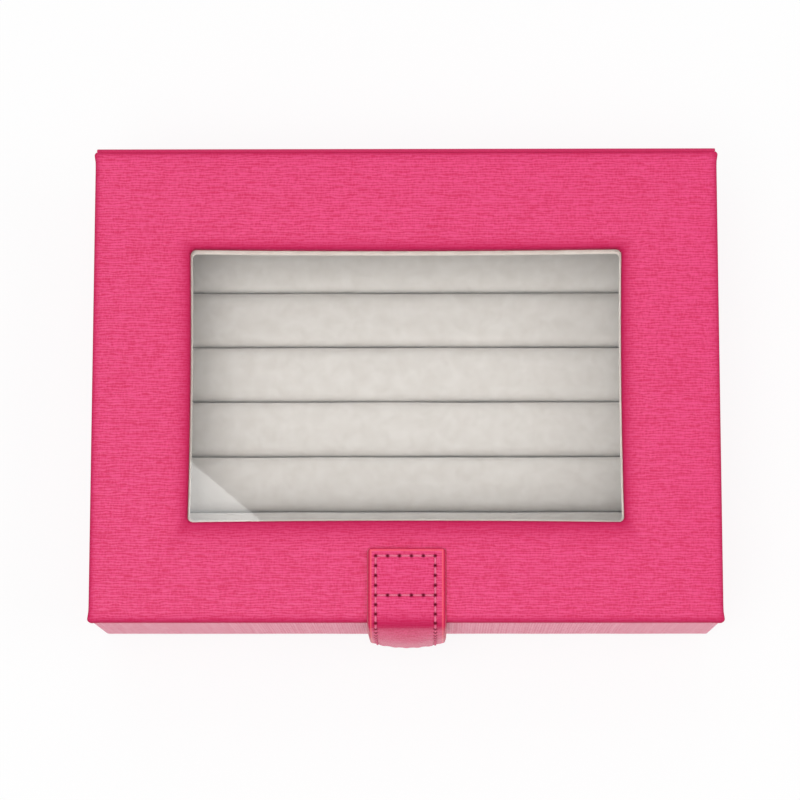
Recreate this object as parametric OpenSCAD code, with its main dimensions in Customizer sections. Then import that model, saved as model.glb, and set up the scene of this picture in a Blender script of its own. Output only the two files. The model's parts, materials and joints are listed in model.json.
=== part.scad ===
// Ring display box: a covered board tray with a windowed lid, ring rolls and a strap.
// Millimetres. X runs to the right, Y to the hinge at the back, Z up.
// The origin is the centre of the closed box's footprint, on its underside.

/* [Box] */
// Width of the closed box, over the lid
box_w = 200; // [150:1:260]
// Depth of the closed box, from the lid's front to the leather on the back
box_d = 151.7; // [120:0.1:200]
// Height of the closed box, without the strap
box_h = 50; // [42:0.5:70]
// How far the lid stands over the base at each side
side_overhang = 0.6; // [0.5:0.1:3]
// How far the lid stands over the base at the front
front_overhang = 0.05; // [0:0.05:2]
// Clear gap between the closed lid and the rim
lid_gap = 0.3; // [0.2:0.05:0.6]

/* [Leather and board] */
// Thickness of the grained leather skin
skin_t = 0.6; // [0.4:0.1:1]
// Thickness of the board of the base's walls
wall_t = 1.6; // [1.5:0.1:3]
// Thickness of the base's bottom board
bottom_t = 2; // [1.5:0.1:3]
// Thickness of the lid's board
lid_board_t = 2.2; // [1.5:0.1:3]
// Thickness of the foam padding under the lid's skin
pad_t = 1.1; // [0.6:0.1:2]
// Thickness of the suede lining on walls and floor
lining_t = 0.4; // [0.3:0.1:1]
// Thickness of the felt under the base
felt_t = 0.8; // [0.5:0.1:2]
// Distance of the felt's edge from the base's sides
felt_inset = 3; // [1:0.5:8]
// Width of skin turned in under the base
under_turn = 14; // [6:1:20]
// Height of skin turned over the rim, down the inside
rim_turn = 3; // [2:0.5:8]
// Width of skin turned in under the lid's outer edge
lid_turn = 11; // [5:0.5:13]
// Width of skin turned in under the window's edge
window_turn = 8; // [4:0.5:10]
// Radius of the lid's corners, seen from above
lid_corner_r = 1.7; // [1.5:0.1:4]
// Radius over the lid's outer edge
lid_edge_r = 1.4; // [0.5:0.1:1.5]
// Radius of the base's upright corners
base_corner_r = 1.2; // [0.8:0.1:4]

/* [Window] */
// Width of the window in the lid
window_w = 138.4; // [80:0.1:144]
// Depth of the window in the lid
window_d = 87.6; // [60:0.1:92]
// Radius of the window's corners
window_corner_r = 1.8; // [1:0.1:6]
// Radius at which the skin rolls down into the window
window_roll_r = 1.2; // [0.5:0.1:2]
// Thickness of the clear pane
pane_t = 1.2; // [0.8:0.1:2]
// How far the pane reaches under the lid's board
pane_seat = 6; // [4:0.5:8]
// Clearance round the pane in its spacer
pane_clear = 0.3; // [0.1:0.1:0.6]
// Thickness of the suede-covered frame that holds the pane from below
inner_frame_t = 1.4; // [1:0.1:2.5]
// How far that frame shows inside the window at left and right
lip_x = 0.5; // [0:0.1:3]
// How far that frame shows inside the window at front and back
lip_y = 0.95; // [0:0.05:3]
// Clearance between that frame and the base's linings
inner_frame_clear = 0.8; // [0.5:0.1:3]

/* [Ring rolls] */
// Number of ring rolls, front to back
roll_count = 8; // [5:1:9]
// Gap between neighbouring rolls
roll_gap = 0.1; // [0.05:0.05:1]
// Play behind the rearmost roll
roll_play = 0.8; // [0:0.1:2]
// Height of a roll as a share of its width
roll_flat = 0.78; // [0.6:0.01:0.95]
// Gap between a roll's end and the side lining
roll_end_gap = 0.4; // [0.3:0.1:2]
// Thickness of a roll's suede sleeve
sleeve_t = 0.5; // [0.3:0.1:1]
// Height of the flat where two rolls press on each other
roll_press = 2; // [0.5:0.1:4]

/* [Hinge] */
// Width of the inner hinge cloth
hinge_cloth_w = 176; // [100:1:180]
// Reach of the hinge cloth under the lid
hinge_cloth_reach = 10; // [6:0.5:12]
// Thickness of the hinge cloth under the lid
hinge_cloth_t = 0.3; // [0.2:0.1:0.5]

/* [Strap] */
// Width of the strap
strap_w = 24.2; // [16:0.1:32]
// How far the strap is sewn off the middle, to the right
strap_shift = 0.4; // [-3:0.1:3]
// How far the strap reaches back over the lid
strap_reach = 23.2; // [16:0.1:26]
// Thickness of the strap's grained face leather
strap_face_t = 1.1; // [0.8:0.1:1.6]
// Thickness of the strap's backing leather
strap_back_t = 0.8; // [0.5:0.1:1.2]
// Glue line between strap and lid
strap_glue = 0.05; // [0.02:0.01:0.2]
// Inner radius of the strap's bend over the lid's front edge
strap_bend_r = 1.5; // [1.45:0.05:2]
// Gap between the hanging strap and the lid's front
strap_front_gap = 0.3; // [0.2:0.05:0.6]
// Gap across the fold, between the sewn part and the hanging part
fold_gap = 0.2; // [0.1:0.05:0.4]
// Height over which the strap bows out over the snap
bow_h = 16; // [12:0.5:18]
// Full length of the hanging part, measured straight down
flap_len = 34.5; // [32:0.5:38]
// Corner radius at the sewn end
strap_corner_r = 1.2; // [0.5:0.1:4]
// Corner radius at the hanging tip
tip_corner_r = 3.4; // [1:0.1:8]

/* [Magnetic snap] */
// Diameter of both halves of the snap
snap_d = 13; // [10:0.5:14]
// How far the snap's middle lies below the fold
snap_drop = 24; // [22:0.5:26]
// Thickness of the magnet's steel case
case_t = 1.4; // [1.2:0.1:2]
// Wall of the magnet's case
case_wall = 0.3; // [0.2:0.05:0.4]
// Thickness of the keeper disc on the base
keeper_t = 1.1; // [1:0.1:2]
// Running gap between the closed halves
snap_gap = 0.3; // [0.2:0.05:0.5]
// Width of the keeper's prongs
prong_w = 3; // [2:0.1:4]
// Thickness of the keeper's prongs and of the washer behind the wall
prong_t = 0.4; // [0.3:0.05:0.5]
// Clearance of the prongs in their slots
prong_clear = 0.15; // [0.1:0.05:0.3]

/* [Hidden] */
$fn = 64;
through = 1; // how far a cutting shape stands past the face that it cuts

// Lid levels, from the top down
lid_t = skin_t + pad_t + lid_board_t + skin_t;
lid_bottom = box_h - lid_t;
pane_top = lid_bottom;
frame_top = pane_top - pane_t;
frame_bottom = frame_top - inner_frame_t;

// Base levels, from the floor up
rim_z = lid_bottom - lid_gap;
skin_bottom = felt_t;
board_bottom = skin_bottom + skin_t;
wall_top = rim_z - skin_t;
bottom_top = board_bottom + bottom_t;
floor_z = bottom_top + lining_t;

// Base faces, from the outside in
base_x = box_w / 2 - side_overhang;
base_front = -box_d / 2 + front_overhang;
base_back = box_d / 2;
board_x = base_x - skin_t;
board_front = base_front + skin_t;
board_back = base_back - skin_t;
inner_x = board_x - wall_t;
inner_front = board_front + wall_t;
inner_back = board_back - wall_t;
room_x = inner_x - lining_t;
room_front = inner_front + lining_t;
room_back = inner_back - lining_t;
lining_top = rim_z - rim_turn;

// Ring rolls share the depth of the room
roll_pitch = (room_back - roll_play - room_front) / roll_count;
roll_w = roll_pitch - roll_gap;
roll_h = roll_flat * roll_w;
roll_len = 2 * (room_x - roll_end_gap);
roll_z = floor_z + (roll_h + roll_gap) / 2;
function roll_y(i) = room_front + roll_pitch * (i - 0.5);

// Frame under the pane
frame_x = room_x - inner_frame_clear;
frame_front = room_front + inner_frame_clear;
frame_back = room_back - inner_frame_clear;
pane_w = window_w + 2 * pane_seat;
pane_d = window_d + 2 * pane_seat;

// Strap section
strap_t = strap_face_t + strap_back_t;
bend_y = -box_d / 2 - strap_front_gap + strap_bend_r;
bend_z = box_h + strap_glue - strap_bend_r;
sewn_end = -box_d / 2 + strap_reach;
hang_y = -box_d / 2 - strap_front_gap; // inner face of the hanging strap at the fold
snap_face_y = base_front - keeper_t - snap_gap - case_t; // inner face of the strap at the snap
bow_out = hang_y - snap_face_y;
bow_steps = 16; // straight steps that draw the double bend
fold_z = bend_z - fold_gap;
snap_z = bend_z - snap_drop;
prong_x = snap_d / 4;
pocket_t = 2.5 * prong_t; // recess behind the wall for the washer and the folded prongs

// Shapes shared by several pieces

// A box given by its lowest and highest corners
module span(low, high) {
    translate(low) cube(high - low);
}

// A rectangle with round corners, centred, from squares and circles
module round_rect(w, d, r) {
    union() {
        square([w - 2 * r, d], center = true);
        square([w, d - 2 * r], center = true);
        for (x = [-1, 1], y = [-1, 1])
            translate([x * (w / 2 - r), y * (d / 2 - r)]) circle(r);
    }
}

// A 2-D outline in Y and Z, drawn out along X and centred on X
module along_x(length) {
    translate([-length / 2, 0, 0]) rotate([90, 0, 90]) linear_extrude(length) children();
}

// A 2-D outline in X and Z, drawn out along Y and centred on Y
module along_y(length) {
    translate([0, length / 2, 0]) rotate([90, 0, 0]) linear_extrude(length) children();
}

// The upright section of a slab: wide w, from 0 to h, with its two top corners round
module slab_section(w, h, r) {
    union() {
        translate([-w / 2, 0]) square([w, h - r]);
        translate([-w / 2 + r, 0]) square([w - 2 * r, h]);
        for (x = [-1, 1]) translate([x * (w / 2 - r), h - r]) intersection() {
            circle(r);
            translate([-r, 0]) square([2 * r, r]);
        }
    }
}

// A slab with round upright corners and a round top edge
module soft_slab(w, d, h, corner_r, edge_r) {
    union() {
        along_x(w - 2 * corner_r) slab_section(d, h, edge_r);
        along_y(d - 2 * corner_r) slab_section(w, h, edge_r);
        for (x = [-1, 1], y = [-1, 1])
            translate([x * (w / 2 - corner_r), y * (d / 2 - corner_r), 0])
                rotate_extrude() union() {
                    square([corner_r, h - edge_r]);
                    square([corner_r - edge_r, h]);
                    translate([corner_r - edge_r, h - edge_r]) intersection() {
                        circle(edge_r);
                        square(edge_r);
                    }
                }
    }
}

// The upright section of a hole: wide w, flaring out at the top by a quarter circle
module flared_section(w, h, r) {
    union() {
        translate([-w / 2, -through]) square([w, h + 2 * through]);
        difference() {
            translate([-w / 2 - r, h - r]) square([w + 2 * r, r + through]);
            for (x = [-1, 1]) translate([x * (w / 2 + r), h - r]) circle(r);
        }
    }
}

// A through hole with round corners whose top edge flares out, for skin that rolls down into it
module flared_hole(w, d, h, corner_r, roll_r) {
    union() {
        along_x(w - 2 * corner_r) flared_section(d, h, roll_r);
        along_y(d - 2 * corner_r) flared_section(w, h, roll_r);
        for (x = [-1, 1], y = [-1, 1])
            translate([x * (w / 2 - corner_r), y * (d / 2 - corner_r), 0])
                rotate_extrude() union() {
                    translate([0, -through]) square([corner_r, h + 2 * through]);
                    difference() {
                        translate([0, h - roll_r]) square([corner_r + roll_r, roll_r + through]);
                        translate([corner_r + roll_r, h - roll_r]) circle(roll_r);
                    }
                }
    }
}

// The window's plain opening, grown on every side
module window_prism(grow, low, high) {
    translate([0, 0, low]) linear_extrude(high - low)
        round_rect(window_w + 2 * grow, window_d + 2 * grow, window_corner_r + grow);
}

// Base: boards

module base_bottom_board() {
    color("#b9a58a")
        span([-board_x, board_front, board_bottom], [board_x, board_back, bottom_top]);
}

module side_wall(side) {
    color("#b9a58a") translate([side * (board_x - wall_t / 2), 0, 0])
        span([-wall_t / 2, board_front, bottom_top], [wall_t / 2, board_back, wall_top]);
}

module base_left_wall() {
    side_wall(-1);
}

module base_right_wall() {
    side_wall(1);
}

module base_back_wall() {
    color("#b9a58a")
        span([-inner_x, inner_back, bottom_top], [inner_x, board_back, wall_top]);
}

// Slots of the two keeper prongs, through the wall and its skin
module prong_slots(y_low, y_high) {
    for (x = [-1, 1]) translate([strap_shift + x * prong_x, 0, snap_z])
        span([-prong_t / 2 - prong_clear, y_low, -prong_w / 2 - prong_clear],
             [prong_t / 2 + prong_clear, y_high, prong_w / 2 + prong_clear]);
}

module base_front_wall() {
    color("#b9a58a") difference() {
        span([-inner_x, board_front, bottom_top], [inner_x, inner_front, wall_top]);
        prong_slots(board_front - through, inner_front + through);
        translate([strap_shift, inner_front - pocket_t, snap_z]) rotate([-90, 0, 0])
            cylinder(h = pocket_t + through, d = snap_d + 4 * prong_clear);
    }
}

// Base: skin, linings and felt

module base_skin_block() {
    translate([0, (base_front + board_back) / 2, skin_bottom])
        linear_extrude(rim_z - skin_bottom)
            round_rect(2 * base_x, board_back - base_front, base_corner_r);
}

module base_skin() {
    color("#e54a7d") difference() {
        base_skin_block();
        // the space of the boards
        span([-board_x, board_front, board_bottom], [board_x, board_back + through, wall_top]);
        // the square back, where the hinge leather takes over
        span([-box_w, board_back - base_corner_r, skin_bottom - through],
             [-board_x, board_back + through, rim_z + through]);
        span([board_x, board_back - base_corner_r, skin_bottom - through],
             [box_w, board_back + through, rim_z + through]);
        // the mouth, inside the turned rim
        span([-inner_x + skin_t, inner_front + skin_t, bottom_top],
             [inner_x - skin_t, board_back + through, rim_z + through]);
        span([-board_x, inner_back, bottom_top], [board_x, board_back + through, rim_z + through]);
        // the underside, inside the turned margin
        span([-base_x + under_turn, base_front + under_turn, skin_bottom - through],
             [base_x - under_turn, board_back + through, board_bottom + through]);
        span([-box_w, board_back - under_turn, skin_bottom - through],
             [box_w, board_back + through, board_bottom]);
        prong_slots(base_front - through, board_front + through);
    }
    // skin turned down the inside of the rim
    color("#e54a7d") difference() {
        span([-inner_x, inner_front, lining_top], [inner_x, inner_back, wall_top]);
        span([-inner_x + skin_t, inner_front + skin_t, lining_top - through],
             [inner_x - skin_t, inner_back + through, wall_top + through]);
    }
}

// Hinge leather on the back: down from the parting line and turned in under the base
module back_skin() {
    color("#e54a7d") union() {
        span([-base_x, board_back, skin_bottom], [base_x, base_back, rim_z]);
        span([-board_x, board_back - under_turn, skin_bottom], [board_x, board_back, board_bottom]);
        for (x = [-1, 1]) translate([x * (base_x + board_x) / 2, 0, 0])
            span([-skin_t / 2, board_back - base_corner_r, skin_bottom], [skin_t / 2, board_back, rim_z]);
    }
}

module underside_felt() {
    color("#d8cfc6") translate([0, (base_front + base_back) / 2, 0]) linear_extrude(felt_t)
        round_rect(2 * (base_x - felt_inset), base_back - base_front - 2 * felt_inset, base_corner_r);
}

module lining_floor() {
    color("#d9d4ce") span([-inner_x, inner_front, bottom_top], [inner_x, inner_back, floor_z]);
}

module side_lining(side) {
    color("#d9d4ce") translate([side * (inner_x - lining_t / 2), 0, 0])
        span([-lining_t / 2, inner_front, floor_z], [lining_t / 2, inner_back, lining_top]);
}

module lining_left() {
    side_lining(-1);
}

module lining_right() {
    side_lining(1);
}

module lining_front() {
    color("#d9d4ce") span([-room_x, inner_front, floor_z], [room_x, room_front, lining_top]);
}

module lining_back() {
    color("#d9d4ce") span([-room_x, room_back, floor_z], [room_x, inner_back, lining_top]);
}

// Hinge cloth: over the back rim and down inside it, and under the lid

module hinge_cloth_base() {
    color("#cfc8c0") union() {
        span([-inner_x + skin_t, inner_back, wall_top], [inner_x - skin_t, board_back, rim_z]);
        span([-inner_x + skin_t, inner_back - skin_t, lining_top], [inner_x - skin_t, inner_back, rim_z]);
    }
}

module hinge_cloth_block() {
    span([-hinge_cloth_w / 2, frame_back - hinge_cloth_reach, pane_top - hinge_cloth_t],
         [hinge_cloth_w / 2, frame_back, pane_top]);
}

module hinge_cloth_lid() {
    color("#cfc8c0") hinge_cloth_block();
}

// Ring rolls: foam cores in sewn suede sleeves, side by side and pressed a little flat

// A bar with round edges and pressed sides, less by inset all round
module roll_body(inset) {
    rotate([90, 0, 90]) translate([0, 0, inset - roll_len / 2]) linear_extrude(roll_len - 2 * inset)
        round_rect(roll_w - 2 * inset, roll_h - 2 * inset, (roll_h - roll_press) / 2 - inset);
}

module ring_roll(i) {
    color("#dad5d1") translate([0, roll_y(i), roll_z]) difference() {
        roll_body(0);
        roll_body(sleeve_t);
    }
}

module roll_core(i) {
    color("#efe9d8") translate([0, roll_y(i), roll_z]) roll_body(sleeve_t);
}

// Lid: board, padding, skin, pane and inner frame

module lid_board() {
    color("#b9a58a") difference() {
        translate([0, 0, lid_bottom + skin_t]) linear_extrude(lid_board_t)
            round_rect(box_w - 2 * skin_t, box_d - 2 * skin_t, lid_corner_r - skin_t);
        window_prism(skin_t, lid_bottom, box_h + through);
    }
}

module lid_padding() {
    color("#f0ead6") difference() {
        translate([0, 0, lid_bottom + skin_t + lid_board_t])
            soft_slab(box_w - 2 * skin_t, box_d - 2 * skin_t, pad_t,
                      lid_corner_r - skin_t, lid_edge_r - skin_t);
        translate([0, 0, lid_bottom + skin_t + lid_board_t])
            flared_hole(window_w + 2 * skin_t, window_d + 2 * skin_t, pad_t,
                        window_corner_r + skin_t, window_roll_r - skin_t);
    }
}

module lid_skin() {
    color("#e54a7d") difference() {
        translate([0, 0, lid_bottom]) soft_slab(box_w, box_d, lid_t, lid_corner_r, lid_edge_r);
        translate([0, 0, lid_bottom])
            flared_hole(window_w, window_d, lid_t, window_corner_r, window_roll_r);
        lid_board();
        lid_padding();
        // the underside between the two turned margins
        translate([0, 0, lid_bottom - through]) linear_extrude(skin_t + 2 * through) difference() {
            square([box_w - 2 * lid_turn, box_d - 2 * lid_turn], center = true);
            square([window_w + 2 * window_turn, window_d + 2 * window_turn], center = true);
        }
    }
}

module window_pane() {
    color([0.92, 0.96, 0.97, 0.35])
        span([-pane_w / 2, -pane_d / 2, pane_top - pane_t], [pane_w / 2, pane_d / 2, pane_top]);
}

module frame_block(low, high) {
    span([-frame_x, frame_front, low], [frame_x, frame_back, high]);
}

module pane_spacer() {
    color("#b9a58a") difference() {
        frame_block(frame_top, pane_top);
        span([-pane_w / 2 - pane_clear, -pane_d / 2 - pane_clear, frame_top - through],
             [pane_w / 2 + pane_clear, pane_d / 2 + pane_clear, pane_top + through]);
        hinge_cloth_block();
    }
}

module inner_frame() {
    color("#d9d4ce") difference() {
        frame_block(frame_bottom, frame_top);
        translate([0, 0, frame_bottom - through]) linear_extrude(inner_frame_t + 2 * through)
            round_rect(window_w - 2 * lip_x, window_d - 2 * lip_y, window_corner_r);
    }
}

// Strap: sections in Y and Z

// A quarter ring round the bend, between two radii
module bend_section(r_in, r_out) {
    translate([bend_y, bend_z]) difference() {
        circle(r_out);
        circle(r_in);
        translate([0, -2 * r_out]) square([2 * r_out, 4 * r_out]);
        translate([-2 * r_out, -2 * r_out]) square([2 * r_out, 2 * r_out]);
    }
}

// One layer of the sewn part, between two heights above the strap's inner face
module sewn_section(low, high) {
    union() {
        translate([bend_y, bend_z + strap_bend_r + low]) square([sewn_end - bend_y, high - low]);
        bend_section(strap_bend_r + low, strap_bend_r + high);
    }
}

// The inner face of the hanging part, moved out by a distance: a slow double bend that eases
// out over the snap by half a cosine wave, then straight down to the tip
function hanging_line(out) = concat(
    [for (i = [0:bow_steps]) let (s = i / bow_steps)
        [hang_y - bow_out * (1 - cos(180 * s)) / 2 - out, fold_z - (bow_h - fold_gap) * s]],
    [[snap_face_y - out, bend_z - flap_len]]);

function reversed(points) = [for (i = [len(points) - 1:-1:0]) points[i]];

// One layer of the hanging part, between two distances from its inner face
module hanging_section(low, high) {
    polygon(concat(hanging_line(low), reversed(hanging_line(high))));
}

// The strap's plan on the lid, round at its sewn end
module sewn_outline() {
    translate([strap_shift, sewn_end - 3 * strap_reach / 2, 0]) linear_extrude(box_h + 2 * strap_t)
        round_rect(strap_w, 3 * strap_reach, strap_corner_r);
}

// The strap's front view, round at its tip
module hanging_outline() {
    translate([strap_shift, 0, bend_z]) rotate([90, 0, 0]) linear_extrude(box_d)
        round_rect(strap_w, 2 * flap_len, tip_corner_r);
}

module strap_face() {
    color("#e34a7b") intersection() {
        translate([strap_shift, 0, 0]) along_x(strap_w) sewn_section(strap_back_t, strap_t);
        sewn_outline();
    }
}

module strap_backing() {
    color("#d8446f") intersection() {
        translate([strap_shift, 0, 0]) along_x(strap_w) sewn_section(0, strap_back_t);
        sewn_outline();
    }
}

module flap_face() {
    color("#e34a7b") intersection() {
        translate([strap_shift, 0, 0]) along_x(strap_w) hanging_section(strap_back_t, strap_t);
        hanging_outline();
    }
}

module flap_backing() {
    color("#d8446f") intersection() {
        translate([strap_shift, 0, 0]) along_x(strap_w) hanging_section(0, strap_back_t);
        hanging_outline();
    }
}

// Magnetic snap: a cased magnet on the strap, a steel keeper on the base

// Places a disc whose axis runs along Y, from the front face y at the snap's middle
module at_snap(y) {
    translate([strap_shift, y, snap_z]) rotate([-90, 0, 0]) children();
}

module magnet_case() {
    color("#c9c9c9") at_snap(snap_face_y) difference() {
        cylinder(h = case_t, d = snap_d);
        translate([0, 0, -through]) cylinder(h = case_t - case_wall + through, d = snap_d - 2 * case_wall);
    }
}

module snap_magnet() {
    color("#8f8f92") at_snap(snap_face_y) cylinder(h = case_t - case_wall, d = snap_d - 2 * case_wall);
}

module keeper_disc() {
    color("#c9c9c9") union() {
        at_snap(base_front - keeper_t) cylinder(h = keeper_t, d = snap_d);
        for (x = [-1, 1]) translate([strap_shift + x * prong_x, 0, snap_z]) {
            span([-prong_t / 2, base_front - keeper_t / 2, -prong_w / 2],
                 [prong_t / 2, inner_front - pocket_t + 2 * prong_t, prong_w / 2]);
            // the end folded flat on the washer
            mirror([x < 0 ? 1 : 0, 0, 0])
                span([-prong_t / 2, inner_front - pocket_t + prong_t, -prong_w / 2],
                     [prong_x - prong_t, inner_front - pocket_t + 2 * prong_t, prong_w / 2]);
        }
    }
}

module keeper_washer() {
    color("#b5b5b5") difference() {
        at_snap(inner_front - pocket_t) cylinder(h = prong_t, d = snap_d - prong_clear);
        prong_slots(inner_front - pocket_t - through, inner_front + through);
    }
}

base_bottom_board();
base_front_wall();
base_back_wall();
base_left_wall();
base_right_wall();
base_skin();
back_skin();
underside_felt();
lining_front();
lining_back();
lining_left();
lining_right();
lining_floor();
hinge_cloth_base();
hinge_cloth_lid();
for (i = [1:roll_count]) ring_roll(i);
for (i = [1:roll_count]) roll_core(i);
lid_skin();
lid_padding();
lid_board();
window_pane();
pane_spacer();
inner_frame();
strap_face();
strap_backing();
flap_face();
flap_backing();
magnet_case();
snap_magnet();
keeper_disc();
keeper_washer();
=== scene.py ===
# %% [markdown]
# # A ring display box
# A flat box of board covered in pink grained leather. Its padded lid has a window, and under the
# pane lie eight suede rolls that grip finger rings in the furrows between them. A leather strap
# with a hidden snap holds the lid shut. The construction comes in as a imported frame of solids.
# Each step below gives one of its pieces the soft shape and the finish of the real thing.

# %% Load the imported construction
import json

import bpy
import numpy as np
from mathutils import Euler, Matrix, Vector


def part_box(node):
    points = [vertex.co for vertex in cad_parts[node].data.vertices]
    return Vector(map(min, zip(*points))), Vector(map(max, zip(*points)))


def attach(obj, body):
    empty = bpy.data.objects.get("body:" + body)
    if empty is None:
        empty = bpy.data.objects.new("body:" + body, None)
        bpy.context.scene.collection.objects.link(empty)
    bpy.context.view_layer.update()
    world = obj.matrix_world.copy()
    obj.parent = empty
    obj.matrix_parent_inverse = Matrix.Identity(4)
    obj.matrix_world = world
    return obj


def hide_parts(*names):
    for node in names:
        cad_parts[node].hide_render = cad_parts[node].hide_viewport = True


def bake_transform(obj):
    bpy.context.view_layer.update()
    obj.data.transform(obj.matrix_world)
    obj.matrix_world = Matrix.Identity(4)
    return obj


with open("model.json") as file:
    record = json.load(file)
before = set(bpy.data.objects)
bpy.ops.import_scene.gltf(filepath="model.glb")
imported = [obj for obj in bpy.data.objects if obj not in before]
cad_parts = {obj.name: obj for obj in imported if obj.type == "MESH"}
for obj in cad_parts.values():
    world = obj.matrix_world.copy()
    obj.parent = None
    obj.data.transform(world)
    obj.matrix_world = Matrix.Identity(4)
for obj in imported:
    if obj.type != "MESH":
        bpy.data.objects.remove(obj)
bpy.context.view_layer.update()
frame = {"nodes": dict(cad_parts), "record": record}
MM = 0.001  # the frame is in metres, and a box maker measures in millimetres

# %% [markdown]
# ## Sizes read from the construction
# The solids already know where everything lies, so the looks take their sizes from them: the lid's
# outline and height, the window, the room inside and the strap. A size is typed here only where
# the soft goods have one that the solids lack, such as the depth of a stitch.

# %% Read the driving sizes
def corners(node):
    """Lowest and highest corner of a CAD node, in millimetres, as two arrays."""
    low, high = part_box(node)
    return np.array(low) / MM, np.array(high) / MM


lid_low, lid_high = corners("lid_skin")
base_low, base_high = corners("base_skin")
back_high = corners("back_skin")[1]
board_high = corners("lid_board")[1]
pane_low, pane_high = corners("window_pane")
frame_low, frame_high = corners("inner_frame")
skin = lid_high[0] - board_high[0]  # thickness of the leather
lid_half = (lid_high[:2] - lid_low[:2]) / 2
lid_top, lid_under = lid_high[2], lid_low[2]
rim = back_high[2]
PANE_SEAT = 6.0  # how far the pane reaches in under the lid's board
WINDOW_EASE = 0.35  # the drawn leather leaves the window this much deeper, front and back
window_half = (pane_high[:2] - pane_low[:2]) / 2 - PANE_SEAT + [0, WINDOW_EASE]
print("lid", 2 * lid_half, "window", 2 * window_half, "skin", round(skin, 2))

# %% [markdown]
# ## Camera
# The photograph looks down on the box from high in front with a long lens. Its camera was solved
# from the lid's four corners and the base's front edge, so the place, the tilt and the focal
# length are plain numbers here. Depth of field stays off.

# %% Make the camera
CAMERA_PLACE = (8.723, -155.725, 1012.147)  # millimetres
CAMERA_TILT = (8.884, 0.620, 0.037)  # degrees about X, Y and Z
FOCAL_PIXELS = 3065.8  # focal length in pixels of an image that is 800 pixels wide
IMAGE_PIXELS = 800
SENSOR = 36.0

camera = bpy.data.objects.new("camera", bpy.data.cameras.new("camera"))
bpy.context.scene.collection.objects.link(camera)
camera.location = [v * MM for v in CAMERA_PLACE]
camera.rotation_euler = Euler(np.radians(CAMERA_TILT))
camera.data.sensor_width = SENSOR
camera.data.lens = FOCAL_PIXELS / IMAGE_PIXELS * SENSOR
camera.data.clip_start = 0.01
bpy.context.scene.camera = camera
print("lens", round(camera.data.lens, 2), "mm")

# %% [markdown]
# ## Grids become meshes
# Every soft piece here is a surface worked out on a grid of two parameters. One helper turns such
# an array of points into a mesh, closes it where the piece is a ring or a tube, and can cap the
# ends. It works on whole arrays, so a fine grid costs no time.

# %% Turn a grid of points into a mesh
def make_object(name, points, quads):
    """A smooth-shaded mesh object from points in millimetres and an array of four-cornered faces."""
    points = np.asarray(points, np.float64).reshape(-1, 3)
    mesh = bpy.data.meshes.new(name)
    mesh.vertices.add(len(points))
    mesh.vertices.foreach_set("co", (points * MM).ravel())
    mesh.loops.add(quads.size)
    mesh.loops.foreach_set("vertex_index", quads.ravel().astype(np.int32))
    mesh.polygons.add(len(quads))
    mesh.polygons.foreach_set("loop_start", np.arange(0, quads.size, 4, dtype=np.int32))
    mesh.polygons.foreach_set("use_smooth", np.ones(len(quads), bool))
    mesh.update(calc_edges=True)
    mesh.validate()
    obj = bpy.data.objects.new(name, mesh)
    bpy.context.scene.collection.objects.link(obj)
    return obj


def grid_quads(rows, columns, ring_rows=False, ring_columns=False):
    """Faces between neighbours of a grid. A ring joins its last row or column to its first."""
    i = np.arange(rows if ring_rows else rows - 1)
    j = np.arange(columns if ring_columns else columns - 1)
    i, j = np.meshgrid(i, j, indexing="ij")
    after_i, after_j = (i + 1) % rows, (j + 1) % columns
    index = lambda a, b: (a * columns + b).ravel()
    return np.stack([index(i, j), index(after_i, j), index(after_i, after_j), index(i, after_j)], 1)


def closed_ring_faces(surface):
    """Faces of a closed section that travels once round the box."""
    return grid_quads(*surface.shape[:2], ring_rows=True, ring_columns=True)[:, ::-1]


def tube_faces(surface, side=1):
    """Faces of a tube whose first and last ring are closed by quads between opposite points.

    side is 1 where the rings run so that these faces look out, and -1 to turn all of them over.
    """
    rows, count = surface.shape[:2]
    k = np.arange(count // 2 - 1)
    cap = np.stack([k, k + 1, count - 2 - k, count - 1 - k], 1)
    last = (rows - 1) * count
    tube = grid_quads(rows, count, ring_columns=True)
    return np.concatenate([tube, cap, cap[:, ::-1] + last])[:, ::-side]


def add_attribute(obj, name, values):
    """Stores one number per point, for a material to read."""
    layer = obj.data.attributes.new(name, "FLOAT", "POINT")
    layer.data.foreach_set("value", np.asarray(values, np.float32).ravel())


def add_surface_uv(obj, u, v):
    """Stores two lengths along the surface, in millimetres, as the piece's own UV map."""
    corner = np.empty(len(obj.data.loops), np.int32)
    obj.data.loops.foreach_get("vertex_index", corner)
    uv = np.stack([np.asarray(u).ravel()[corner], np.asarray(v).ravel()[corner]], 1)
    obj.data.uv_layers.new(name="surface").data.foreach_set("uv", uv.ravel())


# %% [markdown]
# ## A path with round corners
# The lid, the base, the frame under the pane and the strap's own section are all rectangles with
# round corners. Such a loop is the same template each time: a share of the half width, a share of
# the half depth and an outward direction. Any number of loops of different sizes then come from
# one sum, which is what lets a profile travel round the box.

# %% Template of a rounded rectangle
def loop_template(side_steps, corner_steps):
    """Shares and directions round a rounded rectangle, counter-clockwise from its right side.

    A point is (share_x * (a - r) + out_x * r, share_y * (b - r) + out_y * r) for half sizes a, b
    and corner radius r: the share moves along the straight sides and the direction turns round
    the corners.
    """
    along = np.linspace(-1, 1, side_steps, endpoint=False)
    turn = np.linspace(0, np.pi / 2, corner_steps, endpoint=False)
    parts = []
    for quarter in range(4):
        start = quarter * np.pi / 2
        straight_out = np.full(side_steps, start)
        side = np.stack([np.ones(side_steps), along], 1)
        corner = np.ones((corner_steps, 2))
        share = np.concatenate([side, corner])
        c, s = round(np.cos(start)), round(np.sin(start))
        share = share @ np.array([[c, s], [-s, c]])
        angle = np.concatenate([straight_out, start + turn])
        parts.append(np.column_stack([share, np.cos(angle), np.sin(angle)]))
    return np.concatenate(parts).T


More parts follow.
